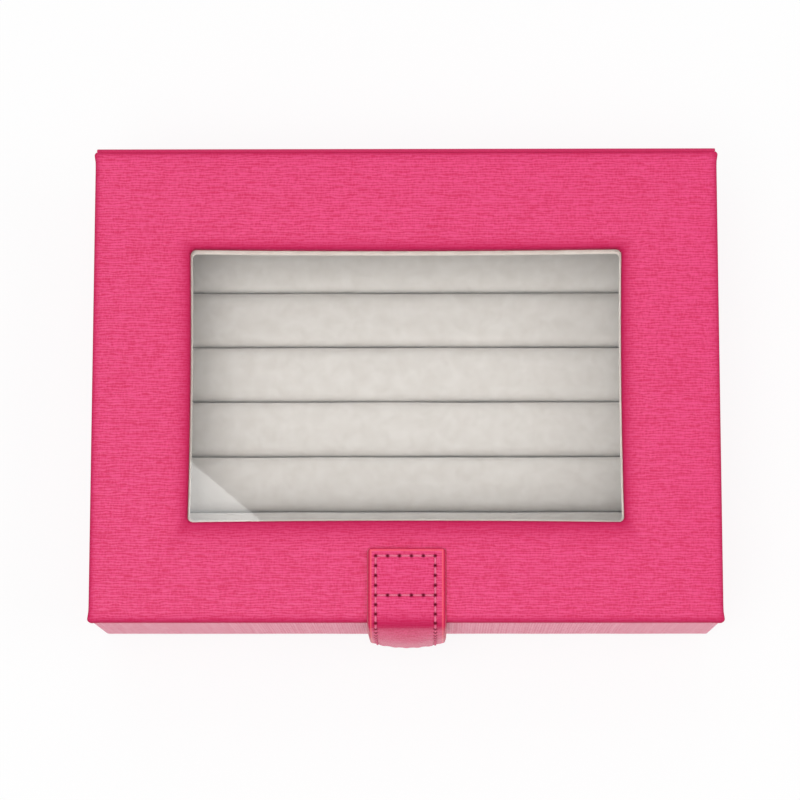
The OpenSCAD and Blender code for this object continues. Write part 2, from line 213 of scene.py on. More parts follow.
def rounded_loops(template, half_x, half_y, radius):
    """One rounded rectangle for each entry of half_x, half_y and radius, as (loops, points, 2)."""
    share_x, share_y, out_x, out_y = template
    a, b, r = (np.asarray(v, float)[:, None] for v in (half_x, half_y, radius))
    return np.stack([share_x * (a - r) + out_x * r, share_y * (b - r) + out_y * r], -1)


def quarter_round(radius, steps):
    """A quarter circle as two rows: one falls from the radius to 0 while the other rises from 0."""
    turn = np.radians(np.linspace(0, 90, steps))
    return radius * (1 - np.sin(turn)), radius * (1 - np.cos(turn))


def without_doubles(*rows):
    """The rows of a path, less each point that repeats the one before it.

    Two points in one place would make a face with no area, and the shading goes black beside it.
    """
    points = np.stack(rows, 1)
    step = np.abs(np.diff(points, axis=0)).max(1)
    return tuple(points[np.concatenate([[True], step > 1e-6])].T)


print("loop template:", loop_template(4, 2).shape)

# %% [markdown]
# ## Finishes
# All materials are built from nodes on Object coordinates or on a piece's own UV map, so that the
# grain sits on the leather and stays there when the lid opens. A small helper wires nodes up.

# %% Node helper
class Finish:
    """A material with its Principled shader, and short calls that add nodes to it."""

    def __init__(self, name):
        self.material = bpy.data.materials.new(name)
        self.material.use_nodes = True
        self.nodes = self.material.node_tree.nodes
        self.links = self.material.node_tree.links
        self.shader = self.nodes["Principled BSDF"]
        self.output = self.nodes["Material Output"]

    def add(self, kind, settings=None, **inputs):
        """A node of that kind, with numbers, colours or other nodes' output sockets plugged in.

        An input goes by its socket's name, with an underscore for a space, or by its number, as i0.
        """
        node = self.nodes.new(kind)
        for key, value in (settings or {}).items():
            setattr(node, key, value)
        for key, value in inputs.items():
            place = int(key[1:]) if key[1:].isdigit() else key.replace("_", " ")
            self.plug(node.inputs[place], value)
        return node

    def plug(self, socket, value):
        if isinstance(value, bpy.types.NodeSocket):
            self.links.new(value, socket)
        else:
            socket.default_value = value

    def math(self, operation, a, b=0.0, clamp=False):
        settings = {"operation": operation, "use_clamp": clamp}
        return self.add("ShaderNodeMath", settings, i0=a, i1=b).outputs[0]

    def coordinates(self, kind="Object", scale=(1, 1, 1)):
        """Coordinates in millimetres, stretched by scale."""
        source = self.add("ShaderNodeTexCoord").outputs[kind]
        unit = 1.0 if kind == "UV" else 1 / MM
        return self.add("ShaderNodeMapping", Vector=source, Scale=[s * unit for s in scale]).outputs[0]

    def noise(self, coordinates, scale, detail=2.0, roughness=0.5, distortion=0.0):
        return self.add("ShaderNodeTexNoise", Vector=coordinates, Scale=scale, Detail=detail,
                        Roughness=roughness, Distortion=distortion).outputs[0]

    def remap(self, value, low, high, to_low=0.0, to_high=1.0):
        """The value moved from the range low to high into another, and clamped there."""
        return self.add("ShaderNodeMapRange", i0=value, i1=low, i2=high, i3=to_low, i4=to_high).outputs[0]

    def mix(self, share, a, b):
        """Colour a where the share is 0, b where it is 1."""
        return self.add("ShaderNodeMix", {"data_type": "RGBA"}, i0=share, i6=a, i7=b).outputs[2]

    def attribute(self, name):
        """A number that the mesh stores at each point."""
        return self.add("ShaderNodeAttribute", {"attribute_name": name}).outputs["Fac"]

    def bump(self, height, distance, strength):
        """A normal bent by a height of 0 to 1, which stands for that distance in millimetres."""
        distance = distance * MM
        return self.add("ShaderNodeBump", Height=height, Distance=distance, Strength=strength).outputs[0]

    def set(self, **inputs):
        """Sets or links the shader's sockets; an underscore in a name stands for a space."""
        for key, value in inputs.items():
            self.plug(self.shader.inputs[key.replace("_", " ")], value)


def srgb(red, green, blue):
    """A colour written as on a screen, 0 to 255, turned into the linear light that nodes use."""
    c = np.array([red, green, blue]) / 255
    linear = np.where(c <= 0.04045, c / 12.92, ((c + 0.055) / 1.055) ** 2.4)
    return (*linear.tolist(), 1.0)


# %% [markdown]
# ### Grained leather
# The leather is embossed with fine wavy lines that run across the lid, 0.85 mm from one crest to
# the next, crossed by a faint upright hatch. The lines are a sine wave whose phase is pushed about
# by stretched noise, so that they fork and fade. The crests are a little smoother than the furrows
# between them. Their colour is painted paler as a highlight, and the furrows' colour darker as shade.

# %% Leather finishes
LEATHER = srgb(230, 64, 124)
# the deep colour is painted shade in the grain's furrows, and the paler crests are a painted highlight
LEATHER_FURROW_SHADE = srgb(200, 4, 72)
# colour over edges and bends: partly stretched leather, partly painted shade
LEATHER_STRETCHED_AND_SHADED = srgb(190, 10, 76)
GRAIN_PITCH, GRAIN_LENGTH = 0.85, 5.5
HATCH_PITCH, HATCH_LENGTH = 0.5, 1.5
WAVE_REPEAT = 0.314  # the length after which a wave texture of scale 1 repeats


def leather(name, kind, across, length, hatch_marks, sheen, specular, contrast=0.72):
    """Leather whose lines follow each other along the axis named across.

    length holds, for each axis, how much the lines are drawn out along it, and hatch_marks the
    length of a hatch mark in millimetres. contrast is how much paler the crests are painted than the
    furrows, as a painted highlight and shade. Where the mesh stores a share of stretch and shade, as
    over an edge, the leather is duller and its colour darker: partly stretched leather, partly painted
    shade.
    """
    finish = Finish(name)
    lines = finish.coordinates(kind, [WAVE_REPEAT / GRAIN_PITCH / s for s in length])
    streaks = finish.add("ShaderNodeTexWave", {"bands_direction": across}, Vector=lines, Scale=1.0,
                         Distortion=5.5, Detail=1.5, Detail_Scale=3.4, Detail_Roughness=0.5).outputs["Fac"]
    hatch = finish.noise(finish.coordinates(kind, [1 / s for s in hatch_marks]), 1.0, 0.0, 0.4)
    patches = finish.noise(finish.coordinates(kind), 0.09, 3.0)
    height = finish.math("ADD", streaks, finish.math("MULTIPLY", hatch, 1.2))
    crest = finish.remap(height, 0.55, 1.5)
    clouds = finish.math("MULTIPLY", patches, 0.1)
    crest_light_and_patches = finish.math("ADD", finish.math("MULTIPLY", crest, contrast), clouds)
    # painted highlight and shade: the crests' colour is paler and the furrows' darker, following the
    # embossed height
    grained = finish.mix(finish.math("ADD", crest_light_and_patches, 0.94 - contrast, True), LEATHER_FURROW_SHADE, LEATHER)
    stretch_and_shade = finish.attribute("stretch_and_shade")
    # painted shade over edges and bends, where the mesh stores it, together with the stretched leather's
    # darker tone
    finish.colour = finish.mix(finish.math("MULTIPLY", stretch_and_shade, 0.9, True), grained, LEATHER_STRETCHED_AND_SHADED)
    dull = finish.math("MULTIPLY", stretch_and_shade, 0.35)
    finish.rough = finish.math("ADD", finish.remap(crest, 0.0, 1.0, 0.52, 0.38), dull, True)
    finish.set(Base_Color=finish.colour, Roughness=finish.rough, Normal=finish.bump(height, 0.11, 0.55))
    finish.set(IOR=1.5, Sheen_Weight=sheen, Sheen_Roughness=0.35, Specular_IOR_Level=specular)
    return finish


L, H, M = GRAIN_LENGTH, HATCH_PITCH, HATCH_LENGTH
lid_leather_finish = leather("lid leather", "Object", "Y", (L, 1, 1), (H, M, M), 0.0, 0.35)
wall_leather_finish = leather("wall leather", "Object", "DIAGONAL", (0.5, 0.5, 400), (H, H, 3.2),
                              0.25, 0.42, contrast=0.4)

# %% [markdown]
# ### The strap's edge paint, painted shade and thread
# The strap is cut from the same leather. Its cut edges are painted, coral on top and dark below;
# the dark line also stands in for the shadow where the strap meets the lid. Each needle hole is a
# dark dot of painted shade. The thread has two plies of two pinks, and is painted darker as it
# dives, as shade.

# %% Strap leather and thread
EDGE_CORAL = srgb(240, 80, 104)
# dark edge paint, which also stands in for the shadow where the strap meets the lid
EDGE_DARK_AND_SHADOW = srgb(200, 10, 76)
# painted shade in the needle holes and where the thread dives into them
NEEDLE_SHADE = srgb(116, 0, 34)


def painted_and_shaded_strap_leather():
    """The strap's leather with three marks laid over it, each a share that the mesh stores: coral edge
    paint, a dark edge that is paint and painted shadow, and painted shade in the needle holes.
    """
    finish = leather("strap leather", "UV", "X", (1, L, 1), (M, H, 1), 0.2, 0.3)
    hole = finish.attribute("needle_hole_shade")
    paint_and_shade = finish.mix(finish.attribute("edge_paint"), finish.colour, EDGE_CORAL)
    # dark edge: edge paint, and painted shadow where the strap meets the lid
    paint_and_shade = finish.mix(finish.attribute("dark_edge_and_shadow"), paint_and_shade, EDGE_DARK_AND_SHADOW)
    # needle holes: painted shade in each pit
    finish.set(Base_Color=finish.mix(hole, paint_and_shade, NEEDLE_SHADE))
    finish.set(Roughness=finish.math("ADD", finish.rough, hole, True))
    return finish


def twisted_thread():
    """Thread of two plies: a slanting wave along and round it, in colour and in height, with painted shade
    where it dives into a hole.
    """
    finish = Finish("strap thread")
    wave = finish.add("ShaderNodeTexWave", {"bands_direction": "DIAGONAL"}, Vector=finish.coordinates("UV"),
                      Scale=1.6, Distortion=0.6, Detail=1.0).outputs["Fac"]
    plies = finish.mix(wave, srgb(212, 50, 104), srgb(252, 150, 178))
    # painted shade where the thread dives into a hole
    finish.set(Base_Color=finish.mix(finish.attribute("dive_shade"), plies, NEEDLE_SHADE), Roughness=0.6)
    finish.set(Normal=finish.bump(wave, 0.06, 0.8), Specular_IOR_Level=0.15)
    return finish


strap_leather_finish = painted_and_shaded_strap_leather()
thread_finish = twisted_thread()
print("leather finishes made")

# %% [markdown]
# ### Suede, felt, board, foam, metal and glass
# Suede is all nap: fully rough, with a soft sheen and slow cloudy patches where the nap lies the
# other way. The pane lets the lamps through by a transparent shader that only shadow rays meet.

# %% Other finishes
def napped(name, light, dark, patch_mm=9.0, fibre_mm=0.16, sheen=0.25):
    """A napped cloth: cloudy patches of two tones, and fine fibres that only bend the light."""
    finish = Finish(name)
    coordinates = finish.coordinates()
    patches = finish.noise(coordinates, 1 / patch_mm, 3.0, 0.55, 0.4)
    fibres = finish.noise(coordinates, 1 / fibre_mm, 2.0)
    colour = finish.mix(finish.remap(patches, 0.3, 0.7), dark, light)
    colour = finish.mix(finish.math("MULTIPLY", fibres, 0.16), colour, dark)
    finish.set(Base_Color=colour, Roughness=1.0, Normal=finish.bump(fibres, 0.05, 0.5))
    finish.set(Sheen_Weight=sheen, Sheen_Roughness=0.5, IOR=1.35)
    return finish


suede_finish = napped("suede", srgb(200, 194, 189), srgb(190, 183, 177), 4.5)
# the frame's suede is painted paler and pinker than the rolls': painted light and a painted pink reflection
# on the lip
lip_suede_with_painted_light = napped("suede on the frame", srgb(214, 203, 195), srgb(202, 190, 181), 4.5)
cloth_finish = napped("hinge cloth", srgb(214, 208, 200), srgb(192, 184, 175), 4.0, 0.3)
felt_finish = napped("underside felt", srgb(214, 206, 198), srgb(190, 181, 172), 6.0, 0.35, 0.1)
foam_finish = napped("foam", srgb(240, 232, 212), srgb(222, 211, 186), 1.6, 0.5, 0.0)
board_finish = napped("grey board", srgb(176, 160, 138), srgb(148, 132, 110), 2.2, 0.4, 0.0)


def steel(name, colour, streak_mm):
    """Brushed steel: fine streaks along x, from stretched noise in roughness and bump."""
    finish = Finish(name)
    streaks = finish.noise(finish.coordinates("Object", (0.4, 1 / streak_mm, 1 / streak_mm)), 1.0, 2.0)
    rough = finish.remap(streaks, 0.0, 1.0, 0.22, 0.42)
    finish.set(Base_Color=colour, Metallic=1.0, Roughness=rough, Normal=finish.bump(streaks, 0.01, 0.4))
    return finish


steel_finish = steel("snap steel", srgb(206, 206, 208), 0.12)
magnet_finish = steel("magnet", srgb(140, 140, 144), 0.3)


def clear_pane():
    """Clear sheet: glass to the eye, and nothing but a slight tint to a lamp's shadow ray."""
    finish = Finish("clear pane")
    smudge = finish.noise(finish.coordinates(), 0.05, 3.0)
    rough = finish.remap(smudge, 0.0, 1.0, 0.0, 0.03)
    finish.set(Base_Color=(0.985, 0.992, 0.99, 1.0), Roughness=rough)
    finish.set(Transmission_Weight=1.0, IOR=1.45)
    through = finish.add("ShaderNodeBsdfTransparent", Color=(0.97, 0.98, 0.975, 1.0))
    shadow = finish.add("ShaderNodeLightPath").outputs["Is Shadow Ray"]
    both = finish.add("ShaderNodeMixShader", i0=shadow, i1=finish.shader.outputs[0], i2=through.outputs[0])
    finish.links.new(both.outputs[0], finish.output.inputs["Surface"])
    return finish


pane_finish = clear_pane()
print("finishes:", len(bpy.data.materials))

# %% [markdown]
# ### Dress the solids that stay
# A CAD node whose shape is right keeps its mesh and only gets a finish. That goes for the boards,
# the linings, the felt, the pane and the snap.

# %% Give every CAD node its finish
FINISH_OF_SLOT = {
    "leather_skin": lid_leather_finish, "strap_leather": strap_leather_finish, "board": board_finish,
    "felt": felt_finish, "suede": suede_finish, "hinge_cloth": cloth_finish, "foam": foam_finish,
    "pane": pane_finish, "snap_steel": steel_finish, "magnet": magnet_finish,
}
for entry in frame["record"]["subparts"]:
    node = frame["nodes"][entry["node"]]
    node.data.materials.clear()
    node.data.materials.append(FINISH_OF_SLOT[entry["material_slot"]].material)


def finish_piece(obj, finish, body=None):
    """Gives a new piece its finish, its material slot and, if named, the body that it rides on."""
    obj.data.materials.append(finish.material)
    if body:
        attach(obj, body)
    print(obj.name, "has", len(obj.data.vertices), "points")


# %% [markdown]
# ## Lid leather
# One sheet of leather covers the padded lid. It is turned in under the outer edge, comes up over
# it, swells over the padding, rolls down into the window and is turned in again underneath. The
# real sheet is glued over soft foam, so the border isn't flat: it is crowned, and its two edges
# fall away. Here a profile across the border travels round the box on a loop that changes from
# the lid's outline to the window's, which keeps the corners mitred as a real wrapped frame is.

# %% Profile across the lid's border
CROWN_DROP = 0.45  # how much lower the leather lies at an edge than in the middle of a border
CROWN_REACH = 4.5  # how fast that fades, in from the edge
LID_EDGE_R, WINDOW_ROLL_R = 1.4, 1.3
LID_TURN = 11.0  # how far the leather is turned in under the lid's edge
WINDOW_TURN = 8.0  # and under the window's
TURN_R = 0.5  # radius where it turns in
LID_CORNER_R, WINDOW_CORNER_R = 1.5, 1.9
PANE_AIR = 0.07  # the turned-in leather lies just clear of the pane's face
border = lid_half[0] - window_half[0]


def crown(distance_out, distance_in):
    """Drop of the padded top: it fades exponentially from both edges of a border."""
    return CROWN_DROP * (np.exp(-distance_out / CROWN_REACH) + np.exp(-distance_in / CROWN_REACH))


def border_profile():
    """Distance in from the lid's outer edge, and height, along the leather's path in section."""
    top_edge = lid_top - CROWN_DROP
    fall, rise = quarter_round(TURN_R, 5)
    path = [(np.linspace(LID_TURN, TURN_R, 8), np.full(8, lid_under)), (fall, lid_under + rise)]
    path.append((np.zeros(4), np.linspace(lid_under + TURN_R, top_edge - LID_EDGE_R, 6)[1:-1]))
    outer_fall, outer_rise = quarter_round(LID_EDGE_R, 9)
    path.append((outer_rise, top_edge - outer_fall))
    flat_part = border - LID_EDGE_R - WINDOW_ROLL_R
    across = LID_EDGE_R + flat_part * (1 - np.cos(np.linspace(0, np.pi, 44))) / 2
    lift = CROWN_DROP - crown(across, border - across) + crown(0, border)
    lift = lift - np.interp(across, [across[0], across[-1]], [lift[0], lift[-1]])
    path.append((across[1:-1], (top_edge + lift * CROWN_DROP / lift.max())[1:-1]))
    roll_fall, roll_rise = quarter_round(WINDOW_ROLL_R, 9)
    path.append((border - roll_fall, top_edge - roll_rise))
    under = lid_under + PANE_AIR
    path.append((np.full(4, border), np.linspace(top_edge - WINDOW_ROLL_R, under + TURN_R, 6)[1:-1]))
    path.append((border - rise, under + fall))
    path.append((np.linspace(border - TURN_R, border - WINDOW_TURN, 8)[1:], np.full(7, under)))
    return without_doubles(*np.hstack(path))


inward, height = border_profile()
print("profile:", len(inward), "points, top at", round(height.max(), 2))

# %% Carry the profile round the lid
def ripple(x, y, seed, wavelength):
    """A slow uneven swell between -1 and 1: three crossed sine waves with seeded phases."""
    phase = np.random.default_rng(seed).uniform(0, 2 * np.pi, 6)
    k = 2 * np.pi / wavelength
    return (np.sin(k * x + phase[0] + 0.6 * np.sin(k * y + phase[1]))
            + np.sin(k * y * 0.8 + phase[2] + 0.6 * np.sin(k * x * 0.7 + phase[3]))
            + np.sin(k * (x + y) * 0.5 + phase[4])) / 3


EAR, EAR_REACH = 0.55, 2.2  # how far the folded leather stands out at a corner, and over what length
SWELL, SWELL_LENGTH = 0.05, 38.0  # unevenness of glue and foam
WINDOW_BOW = 0.5  # how far the leather's pull bows each edge of the window inwards
BOW_REACH = 8.0  # how far from the window the lid's leather still bows
ROUND_THE_LID = loop_template(90, 10)


def edge_bow(flat):
    """How far a window edge is drawn in at a point: a parabola over the length of that edge."""
    return -np.sign(flat) * WINDOW_BOW * np.clip(1 - (flat / window_half)[..., ::-1] ** 2, 0, 1)


def carried_round(inward, height):
    """Points of a profile, given as distance in and height, carried on loops from outline to window."""
    share = inward / border
    half_x = lid_half[0] + (window_half[0] - lid_half[0]) * share
    half_y = lid_half[1] + (window_half[1] - lid_half[1]) * share
    radius = LID_CORNER_R + (WINDOW_CORNER_R - LID_CORNER_R) * share
    flat = rounded_loops(ROUND_THE_LID, half_x, half_y, radius)
    z = np.repeat(height[:, None], flat.shape[1], 1)
    flat += edge_bow(flat) * np.clip(1 - (border - inward) / BOW_REACH, 0, 1)[:, None, None] ** 2
    on_top = np.clip((z - lid_top + 1.2) / 0.8, 0, 1)
    z = z + on_top * SWELL * ripple(flat[..., 0], flat[..., 1], 3, SWELL_LENGTH)
    # the side of the lid stands out a little at its corners, where the folded leather lies double
    from_corner = np.hypot(lid_half[0] - np.abs(flat[..., 0]), lid_half[1] - np.abs(flat[..., 1]))
    ear = EAR * np.exp(-(from_corner / EAR_REACH) ** 2) * (np.abs(inward)[:, None] < 2.5)
    out = np.sign(flat) * ear[..., None] * np.array([1.0, 0.35])
    # the back edge is let in by a leather's thickness, where the hinge leather lies on it
    between_corners = np.abs(flat[..., 0]) < lid_half[0] - 1
    let_in = np.clip((lid_top - 1.0 - z) / 0.3, 0, 1) * between_corners
    out[..., 1] -= skin * let_in * (flat[..., 1] > lid_half[1] - 0.3)
    return np.concatenate([flat + out, z[..., None]], -1)


surface = carried_round(inward, height)
lid_leather = make_object("lid_leather", surface,
                          grid_quads(*surface.shape[:2], ring_columns=True)[:, ::-1])
# painted shade, partly stretched leather: darker over the outer edge and all down the lid's sides, and
# wider round the window, widest at its front
EDGE_STRETCH_AND_SHADE, WINDOW_STRETCH_AND_SHADE = 1.2, 2.4
towards_back = ROUND_THE_LID[3]
window_stretch_and_shade = WINDOW_STRETCH_AND_SHADE - np.where(towards_back < 0, 1.4, 0.4) * towards_back
from_outline = np.clip(inward, 0, None)[:, None]
from_window = np.clip(border - inward, 0, None)[:, None]
from_edge = np.minimum(from_outline / EDGE_STRETCH_AND_SHADE, from_window / window_stretch_and_shade)
turned_down = height[:, None] < lid_top - CROWN_DROP - 1.5
add_attribute(lid_leather, "stretch_and_shade", np.where(turned_down, 1.0, np.exp(-from_edge**1.5)))
finish_piece(lid_leather, lid_leather_finish, "lid")
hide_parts("lid_skin")

# %% [markdown]
# ## Foam under the lid's leather
# A thin foam sheet on the board gives the border its crown. It is cut smaller than the board, so
# that the leather closes round it. Its top is the leather's own profile, lowered by a leather's
# thickness, and its underside is flat on the board.

# %% Lay the foam on the lid's board
FOAM_INSET = 1.6
FOAM_GAP = 0.04  # between the foam and the leather


def foam_profile():
    """Distance in and height once round the foam's section, from the outline inwards and back."""
    top = height > lid_top - CROWN_DROP - 0.001
    across = FOAM_INSET + (border - 2 * FOAM_INSET) * (1 - np.cos(np.linspace(0, np.pi, 36))) / 2
    crest = np.interp(across, inward[top], height[top]) - skin - FOAM_GAP
    return (np.concatenate([across, np.linspace(across[-1], across[0], 10)]),
            np.concatenate([crest, np.full(10, board_high[2])]))


surface = carried_round(*foam_profile())
lid_foam = make_object("lid_foam", surface, closed_ring_faces(surface))
finish_piece(lid_foam, foam_finish, "lid")
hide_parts("lid_padding")

# %% [markdown]
# ## Base leather
# The tray is wrapped in the same leather. One strip runs round its left, front and right sides. It
# starts inside the room, comes up over the rim, goes down the wall, rounds the bottom edge and is
# turned in under the box. The strip is a profile again, but its path is open at the back, where
# another piece of leather covers the wall.

# %% Wrap the tray
BASE_CORNER_R = 1.2
RIM_TURN = 3.0  # how far the leather reaches down inside the room
UNDER_TURN = 14.0  # how far it is turned in under the box
WALL_SWELL, WALL_SWELL_LENGTH = 0.05, 31.0
side_low, side_high = corners("base_left_wall")
WALL = side_high[0] - side_low[0]
base_half = base_high[0]
base_front, base_back = base_low[1], back_high[1] - skin
under_z = base_low[2]


def wall_profile():
    """Distance in from the base's outer face, and height, from the room over the rim to the underside."""
    inside = skin + WALL + skin
    fall, rise = quarter_round(skin, 7)
    path = [([inside - 0.5, inside], [rim - RIM_TURN, rim - RIM_TURN])]
    path.append((np.full(4, inside), np.linspace(rim - RIM_TURN, rim - skin, 5)[:-1] + 0.1))
    path += [(inside - rise, rim - fall), (fall, rim - rise)]
    path.append((np.zeros(24), np.linspace(rim - skin, under_z + BASE_CORNER_R, 26)[1:-1]))
    fall, rise = quarter_round(BASE_CORNER_R, 7)
    path.append((rise, under_z + fall))
    path.append((np.linspace(BASE_CORNER_R, UNDER_TURN, 6)[1:], np.full(5, under_z)))
    path.append(([UNDER_TURN], [under_z + skin]))
    return np.hstack(path)


def open_loops(inset, corner_r, side_steps=60, front_steps=90, corner_steps=8):
    """Paths round left side, front and right side, one for each inset from the base's outline.

    Each path runs down the left side, turns the front left corner on an arc, follows the front,
    turns again and runs back up the right side. A corner's radius shrinks as the inset grows.
    """
    inset = inset[:, None]
    r = np.maximum(corner_r - inset, 0.05)
    x_side, y_front = base_half - inset, base_front + inset
    down = np.linspace(0, 1, side_steps)[None]
    turn = np.radians(np.linspace(0, 90, corner_steps))[None, 1:-1]
    y = base_back + (y_front + r - base_back) * down
    corner_x, corner_y = x_side - r + r * np.cos(turn), y_front + r - r * np.sin(turn)
    half_front = np.linspace(-1, 1, front_steps)[None] * (x_side - r)
    x = np.concatenate([-x_side + 0 * y, -corner_x, half_front, corner_x[:, ::-1], x_side + 0 * y], 1)
    y = np.concatenate([y, corner_y, y_front + 0 * half_front, corner_y[:, ::-1], y[:, ::-1]], 1)
    return np.stack([x, y], -1)


wall_in, wall_z = wall_profile()
flat = open_loops(wall_in, BASE_CORNER_R)
wall_z_grid = np.repeat(wall_z[:, None], flat.shape[1], 1)
slack = WALL_SWELL * ripple(flat[..., 0] + flat[..., 1], wall_z_grid, 5, WALL_SWELL_LENGTH)
outside = ((wall_in < 0.01) & (wall_z < rim - 2))[:, None]
flat[..., 1] += np.where(outside, slack, 0) * (np.abs(flat[..., 0]) < base_half - 3)
tray = np.concatenate([flat, wall_z_grid[..., None]], -1)
base_leather = make_object("base_leather", tray, grid_quads(*tray.shape[:2]))
finish_piece(base_leather, wall_leather_finish, "base")
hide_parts("base_skin")

# %% [markdown]
# ## Strips that bend: a helper for hinge and strap
# The leather over the hinge, the cloth inside it and the strap are all flat strips that were bent
# about the box's long direction. Each is a path in Y and Z that one cross-section follows. The
# section is a thin rectangle with rounded edges, and the strip narrows at its ends as the cut
# corners do. A strip comes back with two lengths for each point, along and across, so that grain
# and stitches can be placed on it in millimetres.

# %% Strip along a path
def strip_section(columns, edge_steps, edge_r, thickness):
    """One closed section: shares across, -1 to 1, insets from the edge and depths below the face.

    The face runs from left to right, a quarter arc rounds each edge, and the back returns. The
    second half mirrors the first, which lets an end be closed by joining opposite points.
    """
    fall, rise = quarter_round(edge_r, edge_steps)
    share = np.concatenate([-np.ones(edge_steps), np.linspace(-1, 1, columns), np.ones(edge_steps)])
    inset = np.concatenate([rise, np.full(columns, edge_r), fall])
    deep = np.concatenate([fall, np.zeros(columns), rise])
    share, inset, deep = without_doubles(share, inset, deep)
    return (np.concatenate([share, share[::-1]]), np.concatenate([inset, inset[::-1]]),
            np.concatenate([deep, thickness - deep[::-1]]))


def places_along(path):
    """Length along a path up to each of its points."""
    return np.concatenate([[0], np.cumsum(np.hypot(*np.diff(path, axis=0).T))])


def directions(path):
    """Unit direction of a path at each of its points."""
    tangent = np.gradient(path, axis=0)
    return tangent / np.linalg.norm(tangent, axis=1)[:, None]


def strip_surface(path, half_width, thickness, edge_r, columns, edge_steps=4, start_r=1.0, stop_r=1.0,
                  middle=0.0, side=1, relief=None, lift=None):
    """Points (rows, section, 3) of a strip whose face follows the path, with lengths along and across.

    A point is the path's point, moved across by its share of the half width and into the strip,
    against the path's normal, by its depth. Near an end the half width follows the corner's arc
    and the thickness closes on a small round. side is 1 where the face looks to the left of the
    path and -1 to the right. relief(along, across) lowers the face, and lift moves both sides out.
    """
    along, tangent = places_along(path), directions(path)
    normal = side * np.stack([-tangent[:, 1], tangent[:, 0]], 1)
    share, inset, deep = strip_section(columns, edge_steps, edge_r, thickness)
    ends = np.stack([along, along[-1] - along])
    corner = np.array([start_r, stop_r])[:, None]
    missing = np.clip(corner - ends, 0, corner)
    narrow = (corner - np.sqrt(np.maximum(corner**2 - missing**2, 0))).max(0)
    edge_missing = np.clip(edge_r - ends, 0, edge_r)
    close = (edge_r - np.sqrt(np.maximum(edge_r**2 - edge_missing**2, 0))).max(0)
    across = share * (half_width - narrow)[:, None] - np.sign(share) * inset
    across = np.where(np.abs(share) < 1, share * (half_width - edge_r - narrow)[:, None], across)
    depth = np.clip(deep + 0 * across, close[:, None], (thickness - close)[:, None])
    if relief is not None:
        face = np.clip(1 - deep / thickness * 2, 0, 1)
        depth = depth + relief(along[:, None], across) * face
    if lift is not None:
        depth = depth - lift(along[:, None], across)
    y = path[:, 0][:, None] - normal[:, 0][:, None] * depth
    z = path[:, 1][:, None] - normal[:, 1][:, None] * depth
    points = np.stack([middle + across, y, z], -1)
    return points, along[:, None] + 0 * across, across


def strip_object(name, surface, along, across, side=1):
    """Mesh of a strip with both its ends closed, and its two lengths as the UV map."""
    obj = make_object(name, surface, tube_faces(surface, side))
    add_surface_uv(obj, along, across)
    return obj


def spaced(*stops):
    """A row of values: for each (start, stop, count) an even stretch, joined without doubles."""
    parts = [np.linspace(a, b, n, endpoint=False) for a, b, n in stops]
    return np.concatenate(parts + [[stops[-1][1]]])


print("section has", len(strip_section(4, 4, 0.3, 1.0)[0]), "points for 4 columns")

# %% [markdown]
# ## Leather and cloth over the hinge
# This box has no metal hinge. A piece of the same leather runs from the lid's back edge down the
# back wall and under the box, and it bends in a shallow groove where lid and base part. Inside, a
# strip of suede cloth bridges the joint and stops the lid where it draws taut.

# %% Make both hinge strips
BACK_Y = back_high[1]
GROOVE, GROOVE_WIDTH = 0.4, 0.6
BEAD = 0.95  # how far the leather bulges out behind the lid's edge when the lid is shut
BEAD_R = 0.75
back_half = back_high[0]


def back_path():
    """The outer face of the hinge leather: a bead behind the lid's edge, the back, and the turn below.

    The bead is an arc over the top, and below it the leather comes back to the wall by half a
    cosine wave.
    """
    over = np.radians(np.linspace(165, 0, 14))
    bead_y, bead_z = BACK_Y + BEAD - BEAD_R, lid_top - 0.75 - BEAD_R
    z = spaced((bead_z, rim + 1.6, 12), (rim + 1.6, rim - 1.4, 14),
               (rim - 1.4, under_z + BASE_CORNER_R, 30))[1:]
    share = np.clip((bead_z - z) / (bead_z - rim - 1.0), 0, 1)
    bulge = BEAD * (1 + np.cos(np.pi * share)) / 2
    groove = GROOVE * np.exp(-((z - rim - 0.15) / GROOVE_WIDTH) ** 2) - bulge
    fall, rise = quarter_round(BASE_CORNER_R, 8)
    under_y = np.linspace(BACK_Y - BASE_CORNER_R, BACK_Y - UNDER_TURN, 8)[1:]
    y = np.concatenate([bead_y + BEAD_R * np.cos(over), BACK_Y - groove, BACK_Y - rise[1:], under_y])
    z = np.concatenate([bead_z + BEAD_R * np.sin(over), z, under_z + fall[1:], np.full(7, under_z)])
    return np.stack([y, z], 1)


path = back_path()
half_width = np.interp(path[:, 1], [rim - 0.4, rim + 1.6], [back_half, lid_half[0] - 0.45])
surface, along, across = strip_surface(path, half_width, skin, 0.28, 100, start_r=0.8, stop_r=0.8)
hinge_leather = strip_object("hinge_leather", surface, along, across)
# painted shade, partly stretched leather: darker along the top of the bead behind the lid
add_attribute(hinge_leather, "stretch_and_shade", 0.9 * np.exp(-(along / 3.0) ** 2))
finish_piece(hinge_leather, wall_leather_finish)
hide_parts("back_skin")
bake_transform(hinge_leather)

cloth_low, cloth_high = corners("hinge_cloth_base")
reach_low, reach_high = corners("hinge_cloth_lid")
RIM_CLOTH_T, CLOTH_T = 0.3, 0.12
bend_y = cloth_low[1] - 0.08  # the bridging cloth lies just clear of the cloth on the wall
CLOTH_BEND_R = 0.35


def rim_cloth_path():
    """Seen face of the cloth on the back wall: up its inside and over its top."""
    inner = cloth_low[1]
    fall, rise = quarter_round(0.5, 7)
    up = np.stack([np.full(6, inner), np.linspace(cloth_low[2], rim - 0.5, 6)], 1)
    over = np.stack([inner + rise, rim - fall], 1)[1:]
    back = np.stack([np.linspace(inner + 0.9, cloth_high[1] - 0.05, 5), np.full(5, rim)], 1)
    return np.concatenate([up, over, back])


